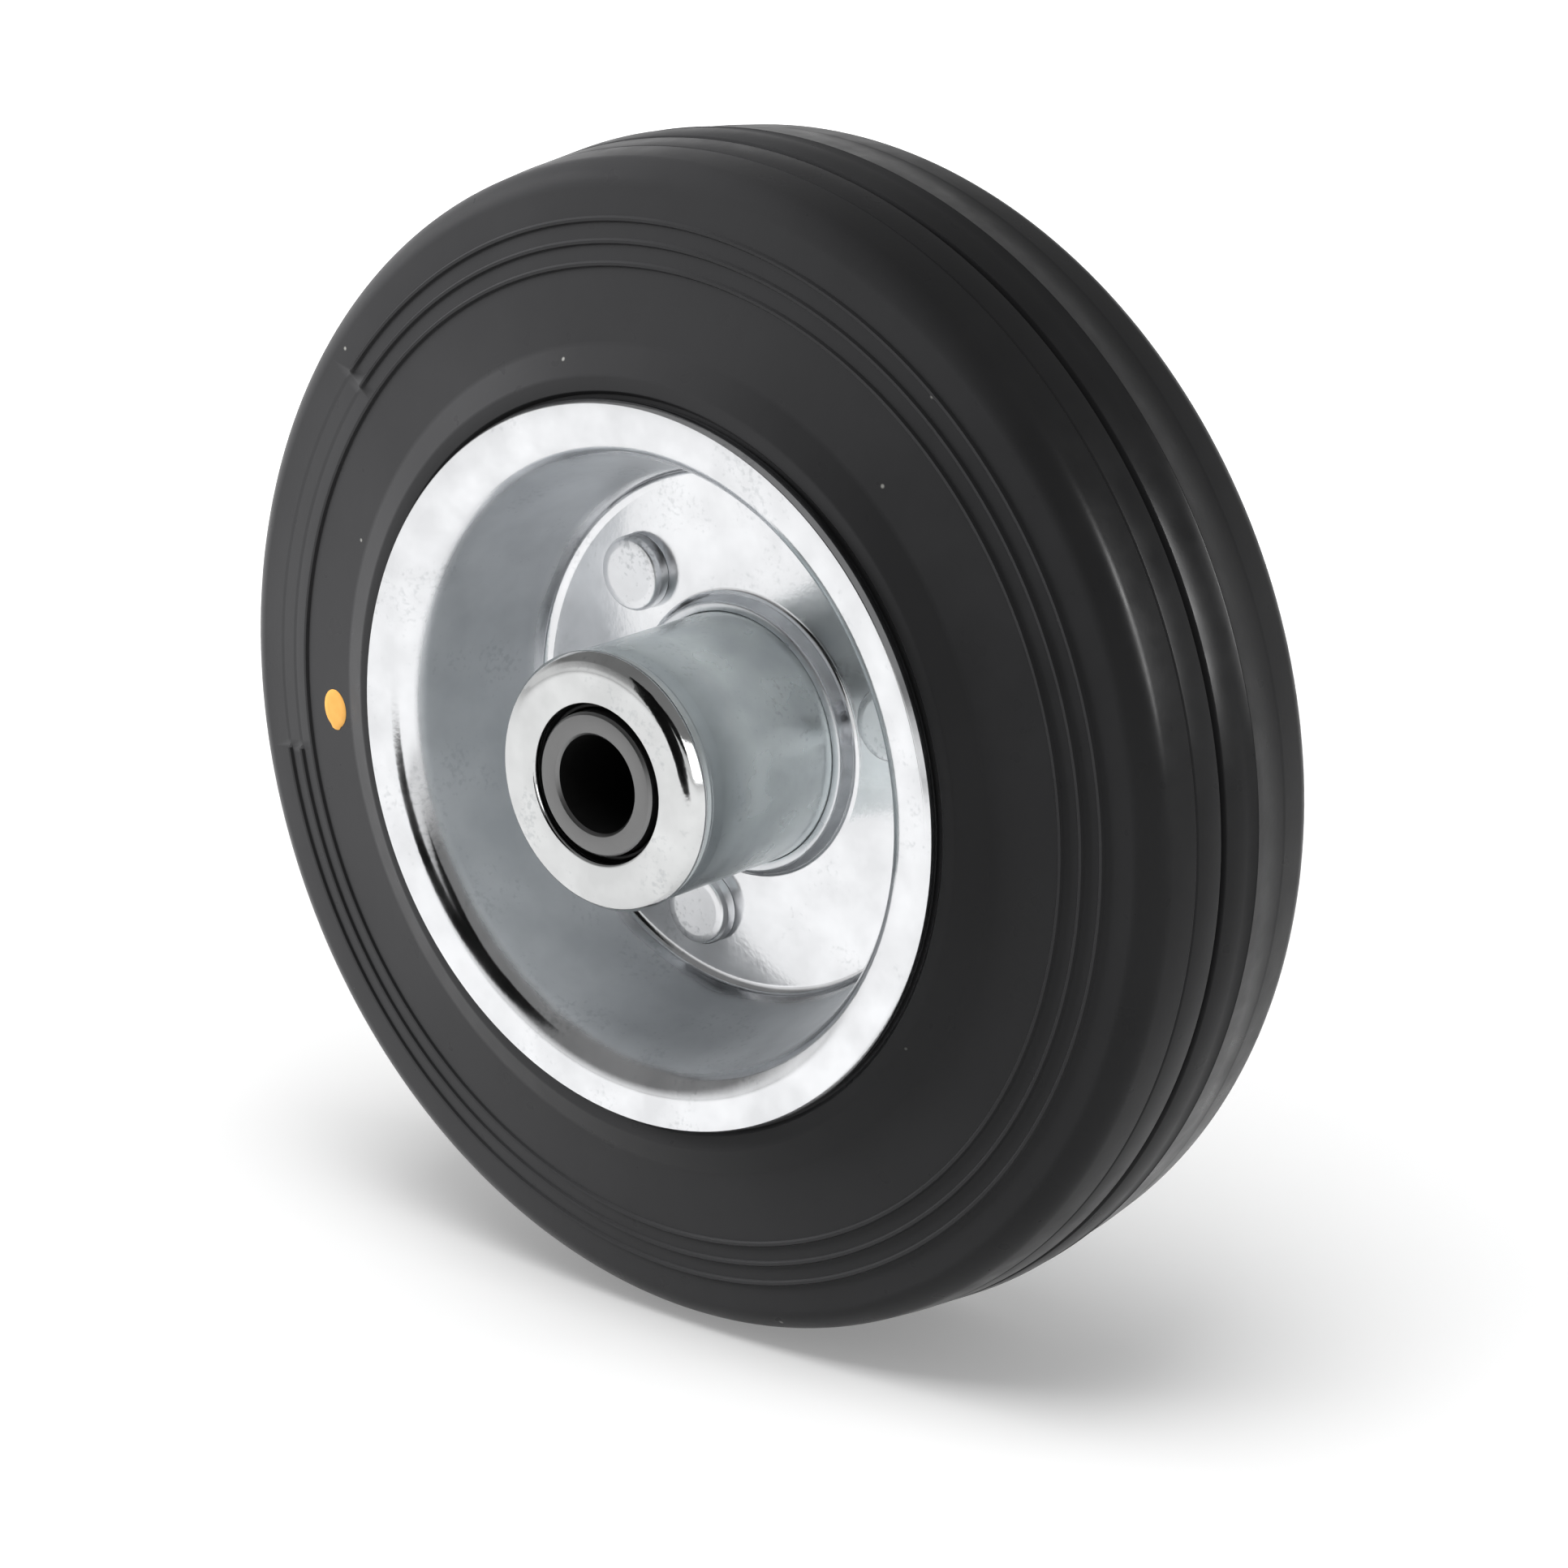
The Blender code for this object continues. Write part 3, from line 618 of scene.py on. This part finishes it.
class WHEEL_OT_hub(bpy.types.Operator):
    """Turn the hub tube and its rolled-over end caps"""
    bl_idname = "wheel.hub"
    bl_label = "Hub tube and caps"

    def execute(self, context):
        finishes = context.scene.wheel_finishes
        half = [(10.9, 23.68, 0.15, 2), (12.15, 23.68, 0.15, 2), (12.15, 23.1), (13.0, 23.1, 0.12, 2),
                (13.05, 22.6, 0.4, 2), (13.28, 22.4, 0.1, 2), (13.28, 22.15, 0.1, 2), (13.12, 21.9, 0.15, 2),
                (13.2, 21.3, 0.3, 2), (13.3, 20.4, 2.0, 3), (13.3, 12.0)]
        tube = turn("hub_barrel", both_sides(half), 128)
        # The tube's ends get a painted dark reflection of the dish wall
        zinc = make_zinc("drawn_zinc_tube", finishes.tube, 0.18, 0.30, 0.35, (1.0, 0.04, 1.0),
                         metal=0.6, painted_reflection_strength=0.55)
        finish_piece(tube, "wheel", ["hub_tube"], [zinc])

        shell = [(8.3, 24.93, 0.35, 4), (11.7, 24.93, 2.5, 6), (12.95, 24.45, 1.2, 6),
                 (13.52, 23.55, 0.4, 4), (13.5, 23.2, 0.12, 2), (13.06, 23.2, 0.06, 2), (13.0, 23.42),
                 (12.5, 23.42, 0.1, 2), (12.5, 24.1, 0.4, 3), (8.3, 24.1, 0.12, 2)]
        cap = turn("hub_cap_shell_front", shell, 128)
        twin = copy_turned(cap, "hub_cap_shell_back", "X", math.pi)
        plate = make_zinc("rolled_zinc_cap", finishes.cap, 0.07, 0.13, 0.4, (1.0, 1.0, 1.0))
        finish_piece(cap, "wheel", ["hub_cap_front"], [plate])
        finish_piece(twin, "wheel", ["hub_cap_back"], [plate])
        return {"FINISHED"}


class WHEEL_OT_dust_rings(bpy.types.Operator):
    """Mould the dust rings behind the caps"""
    bl_idname = "wheel.dust_rings"
    bl_label = "Dust rings"

    def execute(self, context):
        section = [(7.72, 23.6, 0.1, 2), (8.05, 23.6, 0.1, 2), (8.35, 23.1, 0.15, 2), (8.9, 23.1, 0.15, 2),
                   (9.2, 23.68, 0.1, 2), (10.6, 23.68, 0.12, 2), (10.6, 21.8, 0.1, 2), (7.72, 21.8, 0.1, 2)]
        ring = turn("dust_seal_front", section, 96)
        twin = copy_turned(ring, "dust_seal_back", "X", math.pi)
        nylon = make_plastic("moulded_black_nylon", context.scene.wheel_finishes.plastic, 0.6)
        finish_piece(ring, "wheel", ["dust_ring_front"], [nylon])
        finish_piece(twin, "wheel", ["dust_ring_back"], [nylon])
        return {"FINISHED"}


class WHEEL_OT_sleeve(bpy.types.Operator):
    """Turn the axle sleeve, with its chamfers and dark bore"""
    bl_idname = "wheel.sleeve"
    bl_label = "Axle sleeve"

    def execute(self, context):
        half = [(SLEEVE_BORE_RADIUS, SLEEVE_END - 0.35, 0.05, 2), (5.4, SLEEVE_END, 0.08, 2),
                (7.22, SLEEVE_END, 0.08, 2), (7.5, SLEEVE_END - 0.28, 0.08, 2)]
        sleeve = turn("sleeve_tube", both_sides(half), 96)
        steel = make_ground_steel(context.scene.wheel_finishes.steel)
        sleeve.data.materials.append(steel)
        sleeve.data.materials.append(make_black_oxide())
        bpy.ops.object.mode_set(mode="EDIT")
        pick(sleeve, "FACE", lambda spot: wheel_radius(spot) < SLEEVE_BORE_RADIUS + 0.05)
        sleeve.active_material_index = 1
        bpy.ops.object.material_slot_assign()
        bpy.ops.object.mode_set(mode="OBJECT")
        finish_piece(sleeve, "axle", ["axle_sleeve"], [])
        return {"FINISHED"}


class WHEEL_OT_bearing(bpy.types.Operator):
    """Finish the roller cage and rollers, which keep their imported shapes"""
    bl_idname = "wheel.bearing"
    bl_label = "Bearing finishes"

    def execute(self, context):
        cage = make_plastic("moulded_amber_nylon", srgb("#97804F"), 0.5)
        steel = make_zinc("lapped_bearing_steel", srgb("#C4C4C6"), 0.10, 0.18, 0.2, (1.0, 1.0, 1.0))
        for name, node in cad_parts.items():
            if name.startswith("roller_"):
                node.data.materials.clear()
                node.data.materials.append(cage if name == "roller_cage" else steel)
        return {"FINISHED"}


# Stage

def lay_floor():
    """Matt white paper; seen by the camera and in reflections it glows a little, so that it stays white."""
    bpy.ops.object.select_all(action="DESELECT")
    bpy.ops.mesh.primitive_plane_add(size=12.0, location=(0.0, 0.0, TYRE_LOW.z))
    floor = bpy.context.object
    floor.name = floor.data.name = "studio_floor"
    material, tree, place = new_material("matt_white_paper")
    rays = add_node(tree, "ShaderNodeLightPath")
    away = add_node(tree, "ShaderNodeVectorMath", {"operation": "LENGTH"}, {0: place})
    # The glow that the camera sees grows away from the wheel, from the shadow to the white margin
    seen = ramp(tree, away.outputs["Value"], 0.11, 0.5, 0.24, 0.85)
    mirrored = combine(tree, "MULTIPLY", rays.outputs["Is Glossy Ray"], 0.32)
    glow = combine(tree, "MULTIPLY_ADD", rays.outputs["Is Camera Ray"], seen, mirrored)
    paper = add_node(tree, "ShaderNodeBsdfDiffuse", {"Color": (0.80, 0.80, 0.80, 1.0)})
    lit = add_node(tree, "ShaderNodeEmission", links={"Strength": glow})
    both = add_node(tree, "ShaderNodeAddShader",
                    links={0: paper.outputs["BSDF"], 1: lit.outputs["Emission"]})
    add_node(tree, "ShaderNodeOutputMaterial", links={"Surface": both.outputs["Shader"]})
    floor.data.materials.append(material)
    floor.visible_diffuse = False


def hang_cards():
    """Two black cards in front, seen only in reflections, give the bright metal its dark lines."""
    felt = bpy.data.materials.new("matt_black_card")
    tree = empty_tree(felt)
    dark = add_node(tree, "ShaderNodeBsdfDiffuse", {"Color": (0.01, 0.01, 0.01, 1.0)})
    add_node(tree, "ShaderNodeOutputMaterial", links={"Surface": dark.outputs["BSDF"]})
    for name, place, size in (("black_card_left", (-0.026, -0.21, 0.075), (0.096, 0.246, 1.0)),
                              ("black_card_right", (0.0935, -0.21, 0.110), (0.143, 0.110, 1.0))):
        bpy.ops.object.select_all(action="DESELECT")
        bpy.ops.mesh.primitive_plane_add(size=1.0, location=place, rotation=(math.radians(90.0), 0.0, 0.0))
        card = bpy.context.object
        card.scale = size
        card.name = card.data.name = name
        card.visible_camera = card.visible_diffuse = card.visible_shadow = False
        card.data.materials.append(felt)


def fill_room(scene):
    """A white room: the camera sees it white, and reflections see a dim ceiling above a bright horizon."""
    world = bpy.data.worlds.new("studio_room")
    scene.world = world
    tree = empty_tree(world)
    rays = add_node(tree, "ShaderNodeLightPath")
    way = add_node(tree, "ShaderNodeTexCoord")
    height = add_node(tree, "ShaderNodeSeparateXYZ", links={"Vector": way.outputs["Generated"]})
    ceiling = ramp(tree, height.outputs["Z"], 0.10, 0.36, 0.85, 0.22)
    room_light = add_node(tree, "ShaderNodeMix", {MIX_NUMBER_A: 0.40},
                          {MIX_FACTOR: rays.outputs["Is Glossy Ray"], MIX_NUMBER_B: ceiling})
    level = combine(tree, "MAXIMUM", room_light.outputs[MIX_NUMBER_RESULT], rays.outputs["Is Camera Ray"])
    room = add_node(tree, "ShaderNodeBackground", {"Color": (1.0, 1.0, 1.0, 1.0)}, {"Strength": level})
    add_node(tree, "ShaderNodeOutputWorld", links={"Surface": room.outputs["Background"]})


def add_softbox(name, azimuth, elevation, distance, width, height, power):
    """An area light that faces the wheel from an azimuth and elevation in degrees, 0 being in front."""
    turned, raised = math.radians(azimuth), math.radians(elevation)
    towards = Vector((math.sin(turned) * math.cos(raised), -math.cos(turned) * math.cos(raised),
                      math.sin(raised)))
    bpy.ops.object.light_add(type="AREA", location=towards * distance,
                             rotation=towards.to_track_quat("Z", "Y").to_euler())
    lamp = bpy.context.object
    lamp.name = lamp.data.name = name
    lamp.data.shape = "RECTANGLE"
    lamp.data.size, lamp.data.size_y = width, height
    lamp.data.energy = power
    return lamp


def link_light(lamp, state, names):
    """Keeps the lamp's light on the named pieces alone with INCLUDE, or off them with EXCLUDE."""
    receivers = bpy.data.collections.new(lamp.name + "_receivers")
    lamp.light_linking.receiver_collection = receivers
    for name in names:
        receivers.objects.link(bpy.data.objects[name])
    for entry in receivers.collection_objects:
        entry.light_linking.link_state = state


def hang_lamps():
    """Two large lamps that give the light but no reflection, and two that only show in reflections."""
    tyre = ("tyre_moulding", "paint_dot")
    key = add_softbox("key_softbox", 19.0, 73.0, 1.1, 0.75, 0.75, 10.8)
    side = add_softbox("left_softbox", -75.0, 21.0, 1.1, 0.5, 0.5, 38.0)
    key.visible_glossy = side.visible_glossy = False
    # The side lamp lights the dark tyre and its dot alone, and the key lamp all the rest
    link_light(key, "EXCLUDE", tyre)
    link_light(side, "INCLUDE", tyre)
    # A narrow lamp on the right draws the bright line on the shoulder
    strip = add_softbox("shoulder_strip", 109.0, 21.0, 1.2, 0.06, 0.55, 20.0)
    # A lamp beside the camera is the bright spot on the rounded edge of the caps
    glint = add_softbox("cap_glint", 64.0, 16.0, 1.2, 1.04, 0.62, 4.5)
    strip.visible_diffuse = glint.visible_diffuse = False
    link_light(glint, "INCLUDE", ("hub_cap_shell_front", "hub_cap_shell_back"))


def place_camera(scene):
    """The photograph's camera."""
    bpy.ops.object.camera_add(location=CAMERA_PLACE, rotation=CAMERA_TURN)
    camera = bpy.context.object
    camera.name = camera.data.name = "photo_camera"
    camera.data.sensor_width = 36.0
    camera.data.lens = CAMERA_LENS
    camera.data.clip_start, camera.data.clip_end = 0.01, 100.0
    scene.camera = camera


class WHEEL_OT_stage(bpy.types.Operator):
    """Set up the pale floor, soft light and camera"""
    bl_idname = "wheel.stage"
    bl_label = "Stage"

    def execute(self, context):
        lay_floor()
        hang_cards()
        fill_room(context.scene)
        hang_lamps()
        place_camera(context.scene)
        context.scene.view_settings.view_transform = "Standard"
        return {"FINISHED"}


class WHEEL_PT_panel(bpy.types.Panel):
    """The wheel's sizes, colours and pieces"""
    bl_idname = "WHEEL_PT_panel"
    bl_label = "Industrial wheel"
    bl_space_type = "VIEW_3D"
    bl_region_type = "UI"
    bl_category = "Wheel"

    def draw(self, context):
        for group in (context.scene.wheel_sizes, context.scene.wheel_finishes):
            box = self.layout.box()
            for key in group.__annotations__:
                box.prop(group, key)
        column = self.layout.column(align=True)
        for operator in OPERATORS:
            column.operator(operator.bl_idname)


OPERATORS = (WHEEL_OT_tyre, WHEEL_OT_paint_dot, WHEEL_OT_discs, WHEEL_OT_rivets, WHEEL_OT_hub,
             WHEEL_OT_dust_rings, WHEEL_OT_sleeve, WHEEL_OT_bearing, WHEEL_OT_stage)
CLASSES = (WheelSizes, WheelFinishes, *OPERATORS, WHEEL_PT_panel)


def register():
    for group in CLASSES:
        bpy.utils.register_class(group)
    bpy.types.Scene.wheel_sizes = bpy.props.PointerProperty(type=WheelSizes)
    bpy.types.Scene.wheel_finishes = bpy.props.PointerProperty(type=WheelFinishes)


def unregister():
    del bpy.types.Scene.wheel_finishes
    del bpy.types.Scene.wheel_sizes
    for group in reversed(CLASSES):
        bpy.utils.unregister_class(group)


def main():
    """Builds the pieces and the stage."""
    register()
    bpy.ops.wheel.tyre()
    bpy.ops.wheel.paint_dot()
    bpy.ops.wheel.discs()
    bpy.ops.wheel.rivets()
    bpy.ops.wheel.hub()
    bpy.ops.wheel.dust_rings()
    bpy.ops.wheel.sleeve()
    bpy.ops.wheel.bearing()
    bpy.ops.wheel.stage()


if __name__ == "__main__":
    main()
